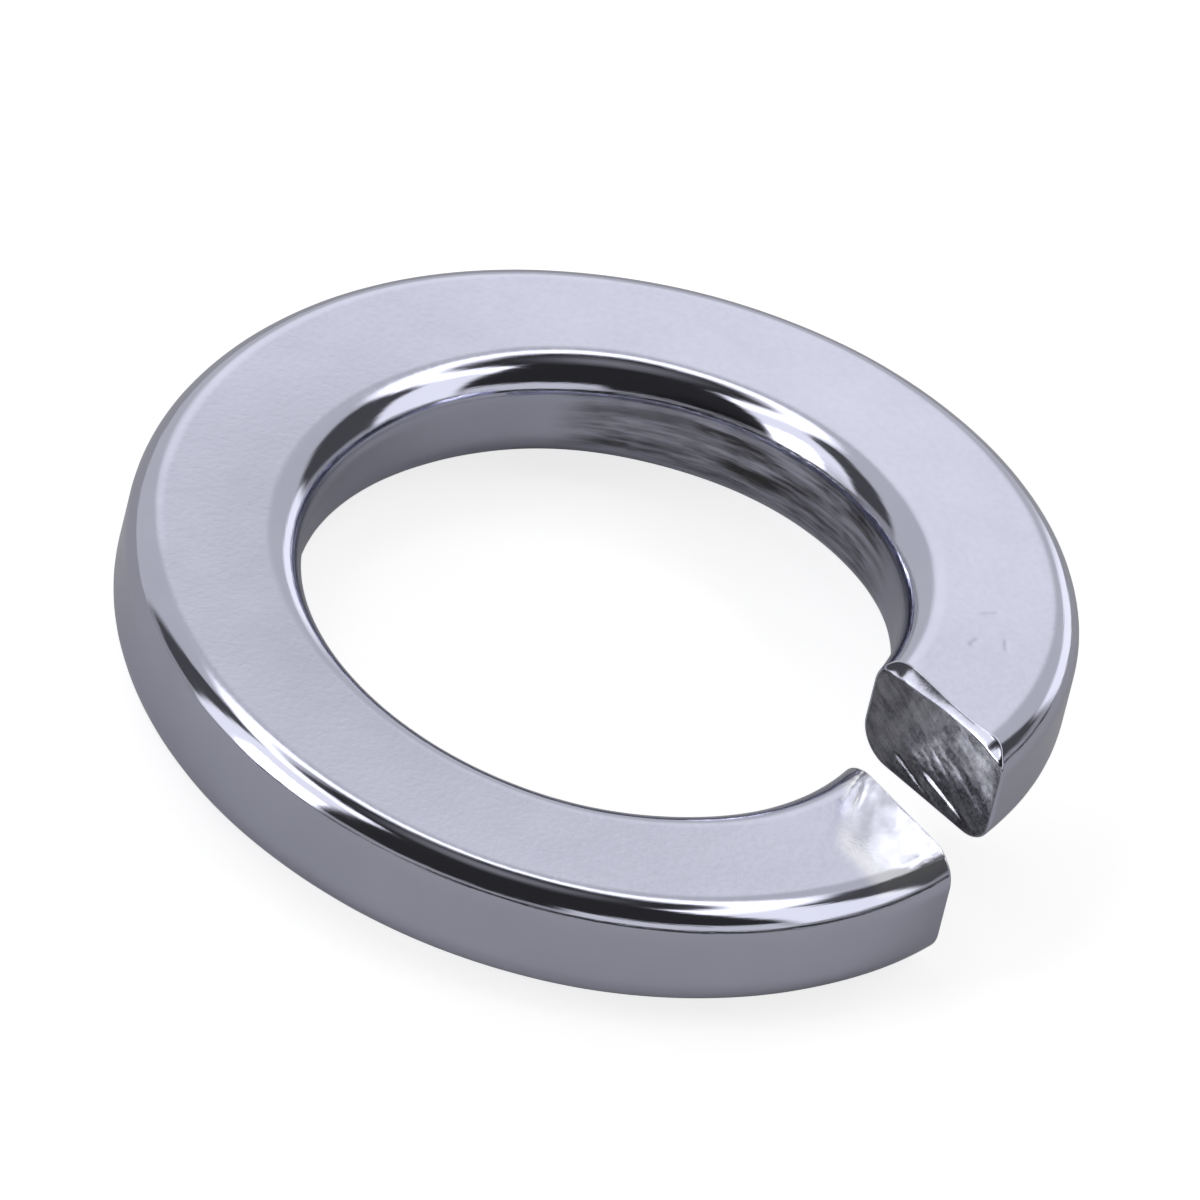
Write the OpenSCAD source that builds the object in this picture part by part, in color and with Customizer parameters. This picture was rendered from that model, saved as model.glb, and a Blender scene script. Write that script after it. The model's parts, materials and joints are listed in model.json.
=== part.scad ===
// Spring lock washer for a 16 mm bolt: one piece of rounded rectangular wire, coiled left-handed
// through a little under one turn and cut off at a slant, so that one end stands above the other.
// All lengths are in millimetres and all angles in degrees. The washer lies at rest on Z = 0.

/* [Ring] */
// Diameter of the hole
hole_d = 16.6; // [15.6:0.1:17.6]
// Width of the wire, from the hole to the rim
wire_w = 5; // [4.4:0.1:5.6]
// Thickness of the wire, from one flat side to the other
wire_t = 3.4; // [2.8:0.1:4.2]

/* [Edges] */
// Rounding of the two outer edges
rim_edge_r = 0.9; // [0.5:0.05:1.1]
// Rounding of the two edges at the hole
hole_edge_r = 1.1; // [0.5:0.05:1.3]

/* [Coil] */
// Height of the upper end above the lower end
end_rise = 3.2; // [2:0.1:4.5]

/* [Slit] */
// Width of the slit, square to its walls at the middle of the wire
slit_w = 0.9; // [0.6:0.1:1.6]
// Slant of the slit away from the radius, its outer corner turned clockwise
slit_slant = 18; // [8:1:24]
// Angle at which the slit opens towards the rim
slit_flare = 6; // [0:1:8]

/* [Hidden] */

// Number of stretches that the coil is built from, and of facets in each rounded edge
coil_steps = 100;
edge_steps = 4;
// How far the coiled wire stands past the hole and the rim before both are turned true
trim = 0.03;
// Least height of upright wall that the rounded edges leave, above and below the wire's middle
wall_left = 0.3;
// Fineness of the turned hole and rim
turned_fn = 200;

hole_r = hole_d / 2;
rim_r = hole_r + wire_w;
mid_r = (hole_r + rim_r) / 2;
rim_round = min(rim_edge_r, wire_t / 2 - wall_left);
hole_round = min(hole_edge_r, wire_t / 2 - wall_left);

// The slit is centred on +X, between two upright walls. This is the polar angle of a wall at a
// radius, with side -1 for the wall of the lower end and 1 for that of the upper end.
function wall_angle(r, side) = let (slant = slit_slant - side * slit_flare / 2)
    asin((mid_r * sin(slant) + side * slit_w / 2) / r) - slant;

// The turn is counted clockwise from the slit, from the lower end at 0 to the upper end at 1.
function turn_at(r, part) = let (start = -wall_angle(r, -1), end = 360 - wall_angle(r, 1))
    start + part * (end - start);

// Rise of the coil in a whole turn, from the rise between the two ends at the middle of the wire
pitch = end_rise * 360 / (turn_at(mid_r, 1) - turn_at(mid_r, 0));

// One rounded corner of the wire's section, from its flat side to past its wall. Each point is a
// radius and a height. The last facet of the rounding runs on in a straight line.
function corner(wall_r, side, up, round) =
    let (
        step = 90 / edge_steps,
        angles = [for (i = [0 : edge_steps - 1]) i * step],
        arc = [for (a = angles) [wall_r - side * round * (1 - sin(a)), wire_t / 2 - round * (1 - cos(a))]],
        end = [wall_r + side * trim, wire_t / 2 - round - trim * cos(90 - step) / (1 - sin(90 - step))]
    )
    [for (p = concat(arc, [end])) [p.x, up * p.y]];

function backwards(list) = [for (i = [len(list) - 1 : -1 : 0]) list[i]];

// The whole section, once round: rim from top to bottom, then hole from bottom to top
section = concat(
    corner(rim_r, 1, 1, rim_round),
    backwards(corner(rim_r, 1, -1, rim_round)),
    corner(hole_r, -1, -1, hole_round),
    backwards(corner(hole_r, -1, 1, hole_round))
);
section_n = len(section);

// A point of the coiled wire, with the coil's axis on Z
function coil_point(p, part) = let (turn = turn_at(p.x, part))
    [p.x * cos(turn), -p.x * sin(turn), p.y + pitch * turn / 360];

coil_points = [for (i = [0 : coil_steps]) for (p = section) coil_point(p, i / coil_steps)];
coil_faces = concat(
    [[for (k = [section_n - 1 : -1 : 0]) k]],
    [for (i = [0 : coil_steps - 1]) for (k = [0 : section_n - 1]) for (half = [0, 1])
        let (
            next = (k + 1) % section_n,
            here = i * section_n,
            there = here + section_n
        )
        half == 0 ? [here + k, there + next, there + k] : [here + k, here + next, there + next]],
    [[for (k = [0 : section_n - 1]) coil_steps * section_n + k]]
);

// At rest the floor touches the lower end's inner corner and, half a turn on, the outer edge,
// where the coil runs level with the floor. These are that floor's slopes in the coil's own axes.
low_r = hole_r + hole_round;
low_turn = turn_at(low_r, 0);
far_r = rim_r - rim_round;
slope_y = pitch / (2 * PI * far_r);
slope_x = (pitch * (low_turn - 180) / 360 + slope_y * low_r * sin(low_turn))
    / (far_r + low_r * cos(low_turn));
lean = atan(norm([slope_x, slope_y]));
lean_axis = [-slope_y, slope_x, 0] / norm([slope_x, slope_y]);

// The same lean for a single point, to find the box of the washer at rest
function leaned(p) = p * cos(lean) + cross(lean_axis, p) * sin(lean)
    + lean_axis * (lean_axis * p) * (1 - cos(lean));

// A point of the coiled wire, brought in to the turned rim if it stands past it
function trimmed(p) = let (r = norm([p.x, p.y]), k = min(r, rim_r) / r)
    [p.x * k, p.y * k, p.z];

// The shift that centres the outline of the leaned washer and sets it on the floor
rest_points =[for (p = coil_points) leaned(trimmed(p))];
function lowest(axis) = min([for (p = rest_points) p[axis]]);
function highest(axis) = max([for (p = rest_points) p[axis]]);
rest_shift = [
    -(lowest(0) + highest(0)) / 2,
    -(lowest(1) + highest(1)) / 2,
    -lowest(2)
];

module coiled_wire() {
    polyhedron(points = coil_points, faces = coil_faces, convexity = 6);
}

module spring_washer() {
    tall = pitch + 2 * wire_t;
    color([0.78, 0.78, 0.83])
        translate(rest_shift)
            rotate(a = lean, v = lean_axis)
                difference() {
                    intersection() {
                        coiled_wire();
                        translate([0, 0, -wire_t])
                            cylinder(h = tall, r = rim_r, $fn = turned_fn);
                    }
                    translate([0, 0, -2 * wire_t])
                        cylinder(h = tall + 2 * wire_t, r = hole_r, $fn = turned_fn);
                }
}

spring_washer();
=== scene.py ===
"""A bright chromed spring lock washer, lying at rest on a pale floor in soft studio light."""
import json
import math

import bpy
import numpy as np
from mathutils import Matrix, Vector, noise


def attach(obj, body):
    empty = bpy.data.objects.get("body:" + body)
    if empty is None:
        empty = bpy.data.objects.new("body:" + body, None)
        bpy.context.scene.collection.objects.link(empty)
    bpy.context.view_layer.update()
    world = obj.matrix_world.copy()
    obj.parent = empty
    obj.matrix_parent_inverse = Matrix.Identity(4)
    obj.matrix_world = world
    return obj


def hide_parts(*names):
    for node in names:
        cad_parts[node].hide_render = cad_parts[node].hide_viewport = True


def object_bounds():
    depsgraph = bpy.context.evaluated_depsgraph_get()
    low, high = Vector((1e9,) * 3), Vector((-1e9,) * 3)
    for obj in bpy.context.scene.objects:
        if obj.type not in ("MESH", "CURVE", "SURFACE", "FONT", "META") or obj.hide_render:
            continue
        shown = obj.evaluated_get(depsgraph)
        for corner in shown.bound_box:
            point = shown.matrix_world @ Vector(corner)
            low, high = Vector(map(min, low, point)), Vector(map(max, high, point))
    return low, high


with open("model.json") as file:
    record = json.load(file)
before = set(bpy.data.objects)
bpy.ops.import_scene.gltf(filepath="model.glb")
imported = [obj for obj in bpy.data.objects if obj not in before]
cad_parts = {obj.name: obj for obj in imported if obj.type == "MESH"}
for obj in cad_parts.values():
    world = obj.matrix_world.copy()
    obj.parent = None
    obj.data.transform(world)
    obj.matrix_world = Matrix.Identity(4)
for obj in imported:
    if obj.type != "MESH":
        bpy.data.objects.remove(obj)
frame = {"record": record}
cad_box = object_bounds()

MM = 0.001
BORE = frame["record"]["mounts"][0]

# The washer's sizes, in millimetres and degrees
HOLE_R = BORE["dims"]["r_mm"]
WIRE_W = 5.0
WIRE_T = 3.4
RIM_EDGE_R = 0.9
HOLE_EDGE_R = 1.1
END_RISE = 3.2
SLIT_W = 0.9
SLIT_SLANT = 18.0
SLIT_FLARE = 6.0
RIM_R = HOLE_R + WIRE_W
MID_R = HOLE_R + WIRE_W / 2
LOWER, UPPER = -1, 1

# How finely the wire is meshed: points round its section, rings round each cut edge and over each cut
ARC_STEPS = 13
FLAT_STEPS = (12, 24, 12, 46)
ROUND_RINGS = 5
CUT_RINGS = 46
# The closely meshed stretch at each end of the wire, as a length and a spacing, and the spacing between
# them, in millimetres
FINE_LOW = (3.4, 0.05)
FINE_HIGH = (6.3, 0.06)
COARSE_STEP = 0.15

# How much the rounded edges vary along the wire, as a share, and how often, per millimetre
EDGE_VARIATION = 0.10
EDGE_WAVE = 0.16
# The slight waves of the plated surface, each as how often it comes, per millimetre, and its height, and
# the share of the wire's length over which they begin at each end
WAVES = ((0.30, 0.010), (1.1, 0.0016))
WAVES_BEGIN = 0.01
# How far apart the noise of two seeds is looked up, so that no two are alike, and each cut's first seed
SEED_STRIDE = (17.3, 5.1, 9.7)
CUT_SEEDS = {LOWER: 10, UPPER: 30}

# Small marks near the upper end. Each is a line between two points, and a point is a distance from that
# end's cut and a radius.
MARKS = (
    ((5.00, 10.9), (4.40, 10.4)),
    ((4.15, 11.25), (3.65, 11.35)),
    ((2.85, 10.35), (3.40, 10.55)),
)
MARK_DEPTH, MARK_WIDTH = 0.013, 0.06

# How far the edges of the two cuts are rounded over, in millimetres: at the least, then the upper cut's
# flowed top edge at the hole, in the middle and at the rim, and what the lower cut has more on top and at
# the rim. The rounding's form goes from round at 1 to a flat bevel at 2.
CUT_EDGE = 0.05
ROLLED = (0.34, 0.20, 0.30)
LOWER_ROLLED = (0.03, 0.09)
ROLL_FLATNESS = 1.8

# The slant of the shear away from the washer's axis. Then the swell, streaks, fine streaks and pits of the
# cuts, each as how often it comes across the shear and along it, per millimetre, and its height. They
# begin over a share of the way from a cut's edge to its middle.
SHEAR_LEAN = 67.0
CUT_WAVES = (
    (0.9, 0.45, 0.050),
    (3.2, 0.70, 0.014),
    (8.0, 2.20, 0.009),
    (6.0, 4.50, 0.007),
)
CUT_WAVES_BEGIN = 0.10

# Two deep scores on the upper cut. Each is a line between two points, and a point is a radius and a height
# over the wire's middle.
SCORES = (
    ((10.7, -0.80), (12.85, -1.50)),
    ((9.60, -1.00), (11.30, -1.62)),
)
SCORE_DEPTH, SCORE_WIDTH = 0.05, 0.07

# The bright stretch that the cutting tool burnished on the lower end's upper side: its length at the hole
# and towards the rim, the share of the wire's width at which it is longest, and how soft its border is.
# Then small folds beside its inner corner, given as the marks are.
BURNISHED = (0.5, 2.9)
BURNISHED_LONGEST = 0.6
BURNISHED_SOFT = 0.7
FOLDS = (
    ((0.35, 8.70), (1.30, 8.88)),
    ((0.30, 9.05), (1.55, 9.60)),
    ((0.35, 9.38), (1.65, 10.12)),
)
FOLD_HEIGHT, FOLD_WIDTH = 0.019, 0.06

# Turns between which the wall of the hole is scuffed and darkened with painted shade, and how softly the
# scuffs and the painted shade begin and end, in degrees
SCUFFED_AND_SHADED = (226, 316)
SCUFFED_AND_SHADED_SOFT = 16
# How sharply the finish of the flat sides ends where the rounded edges begin
FLAT_SHARPNESS = 40

# The camera's rise over the coil's plane, its bearing clockwise from the slit and its roll, in degrees, its
# distance in metres, and the share of the frame's width that the washer takes
CAMERA_RISE = 37.7
CAMERA_PAST_SLIT = 65.5
CAMERA_ROLL = 14.1
CAMERA_DISTANCE = 1.4
WASHER_SHARE = 0.80

# The plating's colours, where two are given the dark and the pale one
PLATE_COLOURS = ((0.620, 0.627, 0.760, 1), (0.696, 0.703, 0.842, 1))
CUT_COLOURS = ((0.13, 0.13, 0.15, 1), (0.74, 0.74, 0.80, 1))
BURNISHED_COLOUR = (0.94, 0.95, 1.0, 1)
# The near-black of the scuffs, which also paints shade on part of the hole's wall
SCUFF_AND_SHADE_COLOUR = (0.08, 0.076, 0.08, 1)

# The fineness, per millimetre, of the drawing lines and of the scuffs, along the wire and round it, and of
# the cuts' streaks, across them and along them
DRAWN_LINES = (0.35, 9.0)
SCUFF_LINES = (0.20, 2.4)
SHEAR_LINES = (4.2, 0.9)
# The fineness, per metre, of the clouds in the plating, of the flat sides' speckle, and of the blotches and
# the tearing of the cuts
CLOUDS, SPECKLES, BLOTCHES, TEARING = 420.0, 5000.0, 1300.0, 8000.0
# What the streaks, the tearing and the blotches add to the cuts' paleness, the radii between which the cuts
# grow paler as their painted shade fades, and the share of that paleness which is left near the hole, where
# the shade is painted
PALE_STREAKS, PALE_TEARING, PALE_BLOTCHES = 0.35, 0.20, 0.45
CUT_SHADE_RADII = (9.2, 11.0)
CUT_SHADE = 0.5
# The values of their noise between which the scuffs with their painted shade, the patches where they are
# thickest, the streaks and the blotches grow, and how much of the scuffs and their painted shade is left
# between those patches
SCUFFS_AND_SHADE_GROW, PATCHES_GROW = (0.68, 0.36), (0.34, 0.56)
STREAKS_GROW, BLOTCHES_GROW = (0.34, 0.66), (0.36, 0.62)
SCUFFS_AND_SHADE_LEFT = 0.6
# The values that most of a noise lies between, and the roughness at both of them on the rounded edges and
# walls, on the flat sides and on the cuts
NOISE_RANGE = (0.3, 0.7)
EDGE_ROUGHNESS = (0.05, 0.10)
FLAT_ROUGHNESS = (0.12, 0.20)
CUT_ROUGHNESS = (0.22, 0.34)
# The depth of the grain, in millimetres, how many times deeper the scuffs and the tearing are, and how far
# the torn ledges of the cuts lean forward, as a slope
GRAIN_DEPTH = 0.0035
SCUFF_DEPTH, TEARING_DEPTH = 3.0, 2.0
LEDGE_SLOPE = 0.16

# The floor: its reach from the middle, in metres, its paleness, its glow to the camera, and the share of
# that glow that the plating mirrors
FLOOR_REACH = 1.0
FLOOR_PALENESS = 0.55
FLOOR_GLOW = 0.77
GLOW_MIRRORED = 0.06

# The studio. A strength of 1 is white. Bearings are in degrees from the camera's side round to the right,
# or from the far side round to the left, and rises are in degrees over the coil's plane.
# The panel's strength at large and in its middle, the middle as a bearing from the far side and a rise, and
# the distances from the middle at which the two strengths are reached
PANEL = (0.74, 1.26)
PANEL_MIDDLE = (9, 32)
PANEL_SPREAD = (17, 4)
# The strength overhead, where it begins and straight up, and both rises
OVERHEAD = (0.03, 0.30)
OVERHEAD_RISES = (70, 90)
# The near side's drape and a darker one before it, each as its bearings and its strength
DRAPES = (((-110, 136), 0.10), ((-52, 64), 0.035))
# The soft lights, each as the side that its bearings count from, its bearings, its rises and its strength
SOFT_LIGHTS = (
    ("near", (65, 96), (10, 66), 1.4),
    ("near", (-86, -48), (4, 66), 1.4),
    ("near", (-70, -50), (6, 34), 7.5),
    ("far", (-115, 132), (56, 66), 2.2),
)
# The low strips of light and the dark foot of the room, each as its bearings, the rise of its top and its
# strength
LOW_LIGHTS = (
    ((-110, 136), 12, 0.45),
    ((12, 64), 21, 0.90),
    ((134, 164), 20, 1.50),
)
FOOT = ((-110, 136), 3, 0.06)
# How soft the borders are, in degrees: those of the drapes, the soft lights and all that is low down, then
# those of rises in general and of the foot's top
DRAPE_SOFT, LIGHT_SOFT, LOW_SOFT = 3, 2.5, 4
RISE_SOFT, FOOT_SOFT = 2, 1


def wall_angle(r, side):
    """Polar angle of the slit's wall at a radius, in degrees, with the slit on +X."""
    slant = SLIT_SLANT - side * SLIT_FLARE / 2
    reach = MID_R * math.sin(math.radians(slant)) + side * SLIT_W / 2
    return np.degrees(np.arcsin(reach / r)) - slant


def wall_turn(r, side):
    """Turn at which the wire ends, in degrees clockwise from the slit."""
    return -wall_angle(r, side) + (360 if side == UPPER else 0)


PITCH = END_RISE * 360 / (wall_turn(MID_R, UPPER) - wall_turn(MID_R, LOWER))
COIL_LENGTH = math.radians(wall_turn(MID_R, UPPER) - wall_turn(MID_R, LOWER)) * MID_R


def coil_to_row():
    """The washer's place at rest, found from its bore. It takes points from the coil's own axes, in
    millimetres, to the row's, in metres."""
    axis = Vector(BORE["axis"]).normalized()
    turn = Vector((0, 0, 1)).rotation_difference(axis).to_matrix().to_4x4()
    mid_turn = (wall_turn(HOLE_R, LOWER) + wall_turn(HOLE_R, UPPER)) / 2
    from_middle = Matrix.Translation((0, 0, -PITCH * mid_turn / 360))
    return Matrix.Translation(Vector(BORE["pos_m"])) @ turn @ Matrix.Scale(MM, 4) @ from_middle


def smoothstep(x):
    """0 up to 0 and 1 from 1 on, with a smooth rise between."""
    x = np.clip(x, 0, 1)
    return x * x * (3 - 2 * x)


def rising(x, start, width):
    """0 up to the start and 1 from a width past it, with a smooth rise between."""
    return smoothstep((x - start) / width)


def top_side(height, start, width):
    """1 on the wire's upper side and 0 below it. The start and width are shares of half its thickness."""
    return rising(height / (WIRE_T / 2), start, width)


def noise_at(points, seed):
    """Smooth noise from about -1 to 1 at each of the points."""
    shift = Vector([seed * stride for stride in SEED_STRIDE])
    flat = points.reshape(-1, 3)
    values = [noise.noise(Vector(p) + shift) for p in flat]
    return np.array(values).reshape(points.shape[:-1])


def section(rim_edge, hole_edge):
    """The wire's section, once round from the rim's upper corner: each point's radius, its height and the
    two parts of its outward normal, with one row for each place along the coil."""
    half = WIRE_T / 2
    corners = (
        (RIM_R - rim_edge, half - rim_edge, rim_edge),
        (RIM_R - rim_edge, rim_edge - half, rim_edge),
        (HOLE_R + hole_edge, hole_edge - half, hole_edge),
        (HOLE_R + hole_edge, half - hole_edge, hole_edge),
    )
    rows = len(rim_edge)
    radius, height, normal = [], [], []
    for k, (r, z, edge) in enumerate(corners):
        for i in range(ARC_STEPS + 1):
            a = math.radians(90 - 90 * k - 90 * i / ARC_STEPS)
            radius.append(r + edge * math.cos(a))
            height.append(z + edge * math.sin(a))
            normal.append((math.cos(a), math.sin(a)))
        last = (radius[-1], height[-1])
        r, z, edge = corners[(k + 1) % 4]
        a = math.radians(-90 * k)
        following = (r + edge * math.cos(a), z + edge * math.sin(a))
        for i in range(1, FLAT_STEPS[k]):
            share = i / FLAT_STEPS[k]
            radius.append(last[0] + share * (following[0] - last[0]))
            height.append(last[1] + share * (following[1] - last[1]))
            normal.append((math.cos(a), math.sin(a)))
    radius = np.array(radius).T.reshape(rows, -1)
    height = np.array(height).T.reshape(rows, -1)
    normal = np.broadcast_to(np.array(normal), radius.shape + (2,))
    return radius, height, normal


def round_end(radius, height, side):
    """How far each point of a section is rounded over into the cut."""
    top = top_side(height, 0.72, 0.25)
    across = (radius - HOLE_R) / WIRE_W
    if side == UPPER:
        inner, middle, outer = ROLLED
        rolled = inner + (middle - inner) * rising(across, 0.2, 0.35)
        rolled = rolled + (outer - middle) * rising(across, 0.7, 0.2)
        return CUT_EDGE + (rolled - CUT_EDGE) * top
    more_on_top, more_at_rim = LOWER_ROLLED
    return CUT_EDGE + more_on_top * top + more_at_rim * rising(across, 0.8, 0.15)


def line_profile(x, y, lines, width):
    """1 on the lines and 0 away from them, tapering towards each line's ends."""
    best = np.zeros(x.shape)
    for (x0, y0), (x1, y1) in lines:
        length = math.hypot(x1 - x0, y1 - y0)
        ux, uy = (x1 - x0) / length, (y1 - y0) / length
        along = ((x - x0) * ux + (y - y0) * uy) / length
        aside = (x - x0) * -uy + (y - y0) * ux
        # Each line begins over a short stretch and ends over a longer one
        taper = smoothstep((along + 0.15) / 0.3) * smoothstep((1.15 - along) / 0.5)
        best = np.maximum(best, taper * np.exp(-(aside / width) ** 2))
    return best


def to_cut(radius, turn, side):
    """Distance along the wire to the cut of one end."""
    return side * np.radians(wall_turn(radius, side) - turn) * radius


def top_relief(radius, height, turn):
    """Rise of the upper side at each point: the folds near the lower end, the marks near the upper one."""
    folded = FOLD_HEIGHT * line_profile(to_cut(radius, turn, LOWER), radius, FOLDS, FOLD_WIDTH)
    marked = MARK_DEPTH * line_profile(to_cut(radius, turn, UPPER), radius, MARKS, MARK_WIDTH)
    return top_side(height, 0.5, 0.2) * (folded - marked)


def burnished(radius, height, turn):
    """How much each point belongs to the lower end's bright stretch."""
    at_hole, longest = BURNISHED
    length = at_hole + (longest - at_hole) * rising(radius, HOLE_R, BURNISHED_LONGEST * WIRE_W)
    inside = (length - to_cut(radius, turn, LOWER)) / BURNISHED_SOFT
    return top_side(height, 0.75, 0.2) * smoothstep(inside + 0.5)


def place(radius, height, turn):
    """Points in the coil's own axes, in millimetres."""
    a = np.radians(turn)
    return np.stack((radius * np.cos(a), -radius * np.sin(a), height + PITCH * turn / 360), axis=-1)


def stations():
    """Places along the wire, in millimetres from the lower cut, closer together near the two ends."""
    low, low_step = FINE_LOW
    high, high_step = FINE_HIGH
    first = np.linspace(0, low, round(low / low_step), endpoint=False)
    middle_length = COIL_LENGTH - low - high
    middle = np.linspace(low, COIL_LENGTH - high, round(middle_length / COARSE_STEP), endpoint=False)
    last = np.linspace(COIL_LENGTH - high, COIL_LENGTH, round(high / high_step) + 1)
    return np.concatenate((first, middle, last))


def cut_relief(radius, height, side):
    """How far the sheared end stands out from its plane: a shallow swell, streaks and pits."""
    lean = math.radians(SHEAR_LEAN)
    across = radius * math.cos(lean) + height * math.sin(lean)
    down = height * math.cos(lean) - radius * math.sin(lean)
    relief = np.zeros(radius.shape)
    for k, (often_across, often_down, size) in enumerate(CUT_WAVES):
        points = np.stack((across * often_across, down * often_down, np.zeros(radius.shape)), axis=-1)
        relief = relief + size * noise_at(points, CUT_SEEDS[side] + k)
    if side == UPPER:
        relief = relief - SCORE_DEPTH * line_profile(radius, height, SCORES, SCORE_WIDTH)
    return relief


def wire_mesh():
    """All the washer's points as rings from the lower cut to the upper one, with the numbers that the
    finish needs, such as how far along the wire each point is and how much it belongs to a cut."""
    along = stations()
    bend = along / MID_R
    circle = MID_R * np.stack((np.cos(bend), np.sin(bend), np.zeros(bend.shape)), axis=-1)
    rim_edge = RIM_EDGE_R * (1 + EDGE_VARIATION * noise_at(circle * EDGE_WAVE, 1))
    hole_edge = HOLE_EDGE_R * (1 + EDGE_VARIATION * noise_at(circle * EDGE_WAVE, 2))
    radius, height, normal = section(rim_edge, hole_edge)
    share = (along / along[-1])[:, None]

    rounding = {side: round_end(radius, height, side) for side in (LOWER, UPPER)}
    begin = wall_turn(radius, LOWER) + np.degrees(rounding[LOWER] / radius)
    end = wall_turn(radius, UPPER) - np.degrees(rounding[UPPER] / radius)
    turn = begin + share * (end - begin)

    body = place(radius, height, turn)
    wave = sum(size * noise_at(body * often, 3 + k) for k, (often, size) in enumerate(WAVES))
    wave = wave * (rising(share, 0, WAVES_BEGIN) * rising(1 - share, 0, WAVES_BEGIN))

    def ring(index, r, z, t, cut):
        """One ring's numbers: its radii, heights and turns, and what holds for the whole of it."""
        made = {"r": r, "z": z, "t": t}
        made["cut"] = np.full(r.shape, cut)
        made["along"] = np.full(r.shape, along[index])
        return made

    def end_rings(index, side):
        """Rings that turn the corner into a cut and then cross it to its middle."""
        r0, z0, n0 = radius[index], height[index], normal[index]
        edge = rounding[side][index]
        made = []
        for i in range(1, ROUND_RINGS + 1):
            a = math.radians(90 * i / ROUND_RINGS)
            inset = edge * (1 - abs(math.cos(a)) ** ROLL_FLATNESS)
            r, z = r0 - inset * n0[:, 0], z0 - inset * n0[:, 1]
            back = np.degrees(edge * (1 - math.sin(a) ** ROLL_FLATNESS) / r)
            made.append(ring(index, r, z, wall_turn(r, side) - side * back, 0.0))
        r1, z1 = made[-1]["r"], made[-1]["z"]
        for i in range(1, CUT_RINGS):
            q = 1 - i / CUT_RINGS
            r, z = MID_R + q * (r1 - MID_R), q * z1
            relief = cut_relief(r, z, side) * rising(1 - q, 0, CUT_WAVES_BEGIN)
            made.append(ring(index, r, z, wall_turn(r, side) + side * np.degrees(relief / r), 1.0))
        return made

    low_rings = end_rings(0, LOWER)[::-1]
    high_rings = end_rings(-1, UPPER)
    between = {
        "r": radius + wave * normal[..., 0],
        "z": height + wave * normal[..., 1],
        "t": turn,
        "cut": np.zeros(radius.shape),
        "along": np.broadcast_to(along[:, None], radius.shape),
    }
    rows = {}
    for name, values in between.items():
        rows[name] = np.concatenate(([g[name] for g in low_rings], values, [g[name] for g in high_rings]))
    steps = np.hypot(np.diff(radius[0], append=radius[0, :1]), np.diff(height[0], append=height[0, :1]))
    around = np.concatenate(([0], np.cumsum(steps)[:-1]))
    rows["around"] = np.broadcast_to(around, rows["r"].shape)
    rows["flat"] = np.broadcast_to(np.abs(normal[0, :, 1]) ** FLAT_SHARPNESS, rows["r"].shape)
    rows["burnished"] = burnished(rows["r"], rows["z"], rows["t"])
    in_hole = rising(-normal[0, :, 0], 0.75, 0.25)
    begun, left = rows["t"] - SCUFFED_AND_SHADED[0], SCUFFED_AND_SHADED[1] - rows["t"]
    rows["scuff_and_shade"] = in_hole * smoothstep(begun / SCUFFED_AND_SHADED_SOFT) * smoothstep(left / SCUFFED_AND_SHADED_SOFT)
    worked = rows["z"] + top_relief(rows["r"], rows["z"], rows["t"])
    return place(rows["r"], worked, rows["t"]), rows


def build_washer():
    """One closed skin: rings joined by four-sided faces, with a fan at the middle of each cut."""
    points, rows = wire_mesh()
    rings, count = points.shape[:2]
    to_row = np.array(coil_to_row())
    flat = points.reshape(-1, 3)
    middles = np.stack((points[0].mean(0), points[-1].mean(0)))
    verts = np.concatenate((flat, middles))
    verts = verts @ to_row[:3, :3].T + to_row[:3, 3]
    faces = []
    for i in range(rings - 1):
        for k in range(count):
            here, across = i * count + k, i * count + (k + 1) % count
            faces.append((here, here + count, across + count, across))
    low, high = rings * count, rings * count + 1
    last = (rings - 1) * count
    for k in range(count):
        after = (k + 1) % count
        faces.append((low, k, after))
        faces.append((high, last + after, last + k))
    mesh = bpy.data.meshes.new("washer")
    mesh.from_pydata(verts.tolist(), [], faces)
    for name in ("along", "around", "r", "flat", "cut", "scuff_and_shade", "burnished"):
        values = np.concatenate((rows[name].ravel(), (rows[name][0].mean(), rows[name][-1].mean())))
        mesh.attributes.new(name, "FLOAT", "POINT").data.foreach_set("value", values.astype(np.float32))
    mesh.shade_smooth()
    mesh.update()
    piece = bpy.data.objects.new("washer", mesh)
    bpy.context.scene.collection.objects.link(piece)
    return piece


def node(tree, kind, inputs=None, **settings):
    """Adds a node, with its settings and with its inputs linked or set."""
    made = tree.nodes.new(kind)
    for name, value in settings.items():
        setattr(made, name, value)
    for name, value in (inputs or {}).items():
        if isinstance(value, bpy.types.NodeSocket):
            tree.links.new(value, made.inputs[name])
        else:
            made.inputs[name].default_value = value
    return made


def calc(tree, operation, *values):
    """The result of a sum on the values, each a number or a socket."""
    return node(tree, "ShaderNodeMath", dict(enumerate(values)), operation=operation).outputs[0]


def ramp(tree, value, start, end, low=0.0, high=1.0):
    """Rises or falls smoothly from low to high as the value goes from start to end."""
    inputs = {"Value": value, "From Min": start, "From Max": end, "To Min": low, "To Max": high}
    return node(tree, "ShaderNodeMapRange", inputs, interpolation_type="SMOOTHSTEP").outputs[0]


def window(tree, value, start, end, soft):
    """1 between start and end, with soft borders, and 0 outside."""
    up = ramp(tree, value, start - soft, start + soft)
    down = ramp(tree, value, end + soft, end - soft)
    return calc(tree, "MULTIPLY", up, down)


def over(tree, base, mask, value):
    """The value where the mask is 1, and the base where it is 0."""
    inputs = {"Factor": mask, "A": base, "B": value}
    return node(tree, "ShaderNodeMix", inputs, data_type="FLOAT").outputs[0]


def attribute(tree, name):
    """One of the numbers that build_washer keeps at each point."""
    return node(tree, "ShaderNodeAttribute", attribute_name=name).outputs["Fac"]


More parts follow.
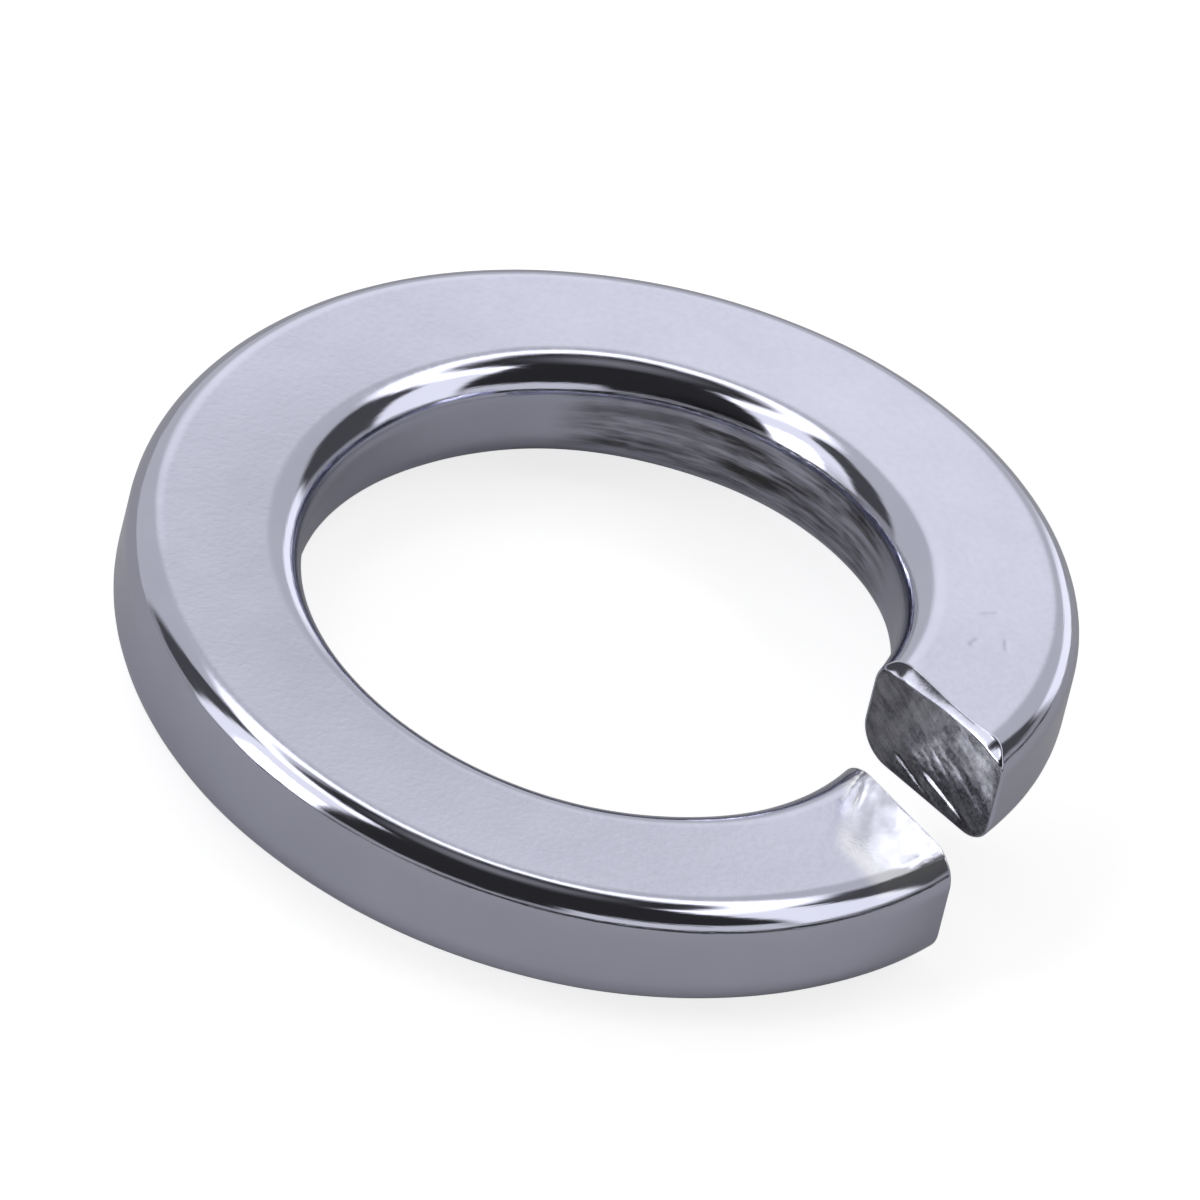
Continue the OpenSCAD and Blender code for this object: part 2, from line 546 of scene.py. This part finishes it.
def part(tree, vector, direction):
    """How far a vector reaches along a direction."""
    inputs = {0: vector, 1: direction}
    return node(tree, "ShaderNodeVectorMath", inputs, operation="DOT_PRODUCT").outputs["Value"]


def stretched(tree, x, y, scales):
    """A place for noise that is longer one way than the other."""
    inputs = {"X": calc(tree, "MULTIPLY", x, scales[0]), "Y": calc(tree, "MULTIPLY", y, scales[1])}
    return node(tree, "ShaderNodeCombineXYZ", inputs).outputs[0]


def noise_node(tree, vector, scale, detail, roughness):
    """Noise from 0 to 1 at a place."""
    inputs = {"Vector": vector, "Scale": scale, "Detail": detail, "Roughness": roughness}
    return node(tree, "ShaderNodeTexNoise", inputs).outputs["Fac"]


def mix_colour(tree, factor, first, second):
    """The first colour where the factor is 0 and the second where it is 1."""
    made = node(tree, "ShaderNodeMix", data_type="RGBA")
    factor_socket, first_socket, second_socket = made.inputs[0], made.inputs[6], made.inputs[7]
    for socket, value in ((factor_socket, factor), (first_socket, first), (second_socket, second)):
        if isinstance(value, bpy.types.NodeSocket):
            tree.links.new(value, socket)
        else:
            socket.default_value = value
    return made.outputs[2]


def shear_directions():
    """The directions across the cuts' streaks and along them, in the row's axes."""
    spin = coil_to_row().to_3x3().normalized()
    slant, lean = math.radians(SLIT_SLANT), math.radians(SHEAR_LEAN)
    outward, pole = Vector((math.cos(slant), -math.sin(slant), 0)), Vector((0, 0, 1))
    across = outward * math.cos(lean) + pole * math.sin(lean)
    return spin @ across, spin @ (pole * math.cos(lean) - outward * math.sin(lean))


def chrome():
    """Bright plating over drawn wire, a little satin on the flat sides, torn and darker on the cuts.
    Painted shade darkens the cuts near the hole, and scuffs with painted shade darken part of the hole's
    wall.
    """
    material = bpy.data.materials.new("chrome_plate")
    material.use_nodes = True
    tree = material.node_tree
    tree.nodes.clear()
    output = node(tree, "ShaderNodeOutputMaterial")
    shader = node(tree, "ShaderNodeBsdfPrincipled", {"Metallic": 1.0})
    tree.links.new(shader.outputs[0], output.inputs["Surface"])

    along, around = attribute(tree, "along"), attribute(tree, "around")
    flat, cut, scuff_and_shade = attribute(tree, "flat"), attribute(tree, "cut"), attribute(tree, "scuff_and_shade")
    where = node(tree, "ShaderNodeTexCoord").outputs["Object"]
    # Lines along the drawn wire, scuffs along the hole's wall and streaks along the shear
    drawn = noise_node(tree, stretched(tree, along, around, DRAWN_LINES), 1.0, detail=4.0, roughness=0.6)
    scuffs = noise_node(tree, stretched(tree, along, around, SCUFF_LINES), 1.0, detail=4.0, roughness=0.65)
    across, down = (part(tree, where, direction / MM) for direction in shear_directions())
    streaks = noise_node(tree, stretched(tree, across, down, SHEAR_LINES), 1.0, detail=3.0, roughness=0.6)
    speckle = noise_node(tree, where, SPECKLES, detail=4.0, roughness=0.6)
    cloud = noise_node(tree, where, CLOUDS, detail=2.0, roughness=0.5)
    torn = noise_node(tree, where, TEARING, detail=5.0, roughness=0.65)
    blotches = noise_node(tree, where, BLOTCHES, detail=3.0, roughness=0.6)

    plated = mix_colour(tree, cloud, *PLATE_COLOURS)
    patches = ramp(tree, cloud, *PATCHES_GROW, SCUFFS_AND_SHADE_LEFT, 1.0)
    scuff_and_shade_mask = calc(tree, "MULTIPLY", ramp(tree, scuffs, *SCUFFS_AND_SHADE_GROW), patches)
    # Scuffs and painted shade darken part of the hole's wall
    plated = mix_colour(tree, calc(tree, "MULTIPLY", scuff_and_shade_mask, scuff_and_shade), plated, SCUFF_AND_SHADE_COLOUR)
    plated = mix_colour(tree, attribute(tree, "burnished"), plated, BURNISHED_COLOUR)
    mottled = ramp(tree, streaks, *STREAKS_GROW, 0.0, PALE_STREAKS)
    mottled = calc(tree, "ADD", mottled, ramp(tree, torn, *NOISE_RANGE, 0.0, PALE_TEARING))
    mottled = calc(tree, "ADD", mottled, ramp(tree, blotches, *BLOTCHES_GROW, 0.0, PALE_BLOTCHES))
    # Painted shade: the cuts are darkest near the hole
    shade = ramp(tree, attribute(tree, "r"), *CUT_SHADE_RADII, CUT_SHADE, 1.0)
    sheared = mix_colour(tree, calc(tree, "MULTIPLY", mottled, shade), *CUT_COLOURS)
    tree.links.new(mix_colour(tree, cut, plated, sheared), shader.inputs["Base Color"])

    on_edges = ramp(tree, drawn, *NOISE_RANGE, *EDGE_ROUGHNESS)
    on_flats = ramp(tree, speckle, *NOISE_RANGE, *FLAT_ROUGHNESS)
    on_cuts = ramp(tree, torn, *NOISE_RANGE, *CUT_ROUGHNESS)
    roughness = over(tree, over(tree, on_edges, flat, on_flats), cut, on_cuts)
    tree.links.new(roughness, shader.inputs["Roughness"])

    deep_scuffs = calc(tree, "MULTIPLY", scuffs, SCUFF_DEPTH)
    grain = over(tree, over(tree, drawn, flat, speckle), scuff_and_shade, deep_scuffs)
    upward = part(tree, where, coil_to_row().to_3x3().col[2].normalized() / MM)
    ledges = calc(tree, "MULTIPLY", upward, LEDGE_SLOPE / GRAIN_DEPTH)
    height = over(tree, grain, cut, calc(tree, "MULTIPLY_ADD", torn, TEARING_DEPTH, ledges))
    bump = node(tree, "ShaderNodeBump", {"Height": height, "Strength": 1.0, "Distance": GRAIN_DEPTH * MM})
    tree.links.new(bump.outputs[0], shader.inputs["Normal"])
    return material


def camera_basis():
    """Directions in the row's axes: the camera's right, its up and the way from the object to it, then, by
    the coil, the level way to the camera, the camera's right and the coil's axis."""
    gap, rise, roll = (math.radians(a) for a in (CAMERA_PAST_SLIT, CAMERA_RISE, CAMERA_ROLL))
    ahead = Vector((math.cos(gap), -math.sin(gap), 0))
    side = Vector((math.sin(gap), math.cos(gap), 0))
    pole = Vector((0, 0, 1))
    back = ahead * math.cos(rise) + pole * math.sin(rise)
    upright = pole * math.cos(rise) - ahead * math.sin(rise)
    right = side * math.cos(roll) + upright * math.sin(roll)
    up = upright * math.cos(roll) - side * math.sin(roll)
    turn = pole.rotation_difference(Vector(BORE["axis"]).normalized())
    return [turn @ v for v in (right, up, back, ahead, side, pole)]


def add_camera():
    """A camera with a long lens at the photograph's viewing angle."""
    right, up, back = camera_basis()[:3]
    low, high = cad_box
    centre = (low + high) / 2
    data = bpy.data.cameras.new("camera")
    data.lens = data.sensor_width * CAMERA_DISTANCE * WASHER_SHARE / (2 * RIM_R * MM)
    camera = bpy.data.objects.new("camera", data)
    spin = Matrix((right, up, back)).transposed()
    camera.matrix_world = Matrix.Translation(centre + back * CAMERA_DISTANCE) @ spin.to_4x4()
    bpy.context.scene.collection.objects.link(camera)
    bpy.context.scene.camera = camera


def seen_white(tree, glossy_share):
    """1 where a camera ray ends, and a share of that where a mirrored or refracted ray does."""
    rays = node(tree, "ShaderNodeLightPath").outputs
    mirrored = calc(tree, "MAXIMUM", rays["Is Glossy Ray"], rays["Is Transmission Ray"])
    return calc(tree, "MAXIMUM", rays["Is Camera Ray"], calc(tree, "MULTIPLY", mirrored, glossy_share))


def add_floor():
    """A plain pale floor, white to the camera but for the washer's shadow."""
    corners = [(x * FLOOR_REACH, y * FLOOR_REACH, 0) for x, y in ((-1, -1), (1, -1), (1, 1), (-1, 1))]
    mesh = bpy.data.meshes.new("floor")
    mesh.from_pydata(corners, [], [(0, 1, 2, 3)])
    floor = bpy.data.objects.new("floor", mesh)
    bpy.context.scene.collection.objects.link(floor)
    material = bpy.data.materials.new("floor")
    material.use_nodes = True
    tree = material.node_tree
    tree.nodes.clear()
    paper = node(tree, "ShaderNodeBsdfDiffuse", {"Color": (FLOOR_PALENESS,) * 3 + (1,)})
    strength = calc(tree, "MULTIPLY", seen_white(tree, GLOW_MIRRORED), FLOOR_GLOW)
    glow = node(tree, "ShaderNodeEmission", {"Strength": strength})
    both = node(tree, "ShaderNodeAddShader", {0: paper.outputs[0], 1: glow.outputs[0]})
    node(tree, "ShaderNodeOutputMaterial", {"Surface": both.outputs[0]})
    mesh.materials.append(material)


def add_studio():
    """The room that lights the washer and shows in its plating: a pale panel on the far side, dark drapes
    on the near side, soft lights between the two and along the panel's top, and pale strips low down."""
    ahead, side, pole = camera_basis()[3:]
    world = bpy.data.worlds.new("studio")
    bpy.context.scene.world = world
    world.use_nodes = True
    tree = world.node_tree
    tree.nodes.clear()
    ray = node(tree, "ShaderNodeTexCoord").outputs["Generated"]

    def degrees(operation, *values):
        """The result of a sum that gives an angle, in degrees."""
        return calc(tree, "MULTIPLY", calc(tree, operation, *values), 180 / math.pi)

    rise = degrees("ARCSINE", part(tree, ray, pole))
    near = degrees("ARCTAN2", part(tree, ray, side), part(tree, ray, ahead))
    far = degrees("ARCTAN2", part(tree, ray, -side), part(tree, ray, -ahead))
    bearings = {"near": near, "far": far}

    middle_bearing, middle_rise = (math.radians(a) for a in PANEL_MIDDLE)
    level = -ahead * math.cos(middle_bearing) - side * math.sin(middle_bearing)
    middle = level * math.cos(middle_rise) + pole * math.sin(middle_rise)
    reach = [math.cos(math.radians(a)) for a in PANEL_SPREAD]
    light = ramp(tree, part(tree, ray, middle), *reach, *PANEL)

    def below(limit, soft):
        """1 below a rise, with a soft border, and 0 above it."""
        return ramp(tree, rise, limit + soft, limit - soft)

    for borders, strength in DRAPES:
        light = over(tree, light, window(tree, near, *borders, DRAPE_SOFT), strength)
    overhead = ramp(tree, rise, *OVERHEAD_RISES, *OVERHEAD)
    light = over(tree, overhead, below(OVERHEAD_RISES[0], RISE_SOFT), light)
    for borders, top, strength in LOW_LIGHTS:
        mask = calc(tree, "MULTIPLY", window(tree, near, *borders, LOW_SOFT), below(top, RISE_SOFT))
        light = over(tree, light, mask, strength)
    for bearing, borders, rises, strength in SOFT_LIGHTS:
        across = window(tree, bearings[bearing], *borders, LIGHT_SOFT)
        upwards = window(tree, rise, *rises, RISE_SOFT)
        light = over(tree, light, calc(tree, "MULTIPLY", across, upwards), strength)
    borders, top, strength = FOOT
    mask = calc(tree, "MULTIPLY", window(tree, near, *borders, LOW_SOFT), below(top, FOOT_SOFT))
    light = over(tree, light, mask, strength)

    rays = node(tree, "ShaderNodeLightPath").outputs
    light = over(tree, light, rays["Is Camera Ray"], 1.0)
    background = node(tree, "ShaderNodeBackground", {"Strength": light})
    node(tree, "ShaderNodeOutputWorld", {"Surface": background.outputs[0]})


washer = build_washer()
washer.data.materials.append(chrome())
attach(washer, "root")
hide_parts("spring_washer")
add_floor()
add_studio()
add_camera()
bpy.context.scene.view_settings.view_transform = "Standard"
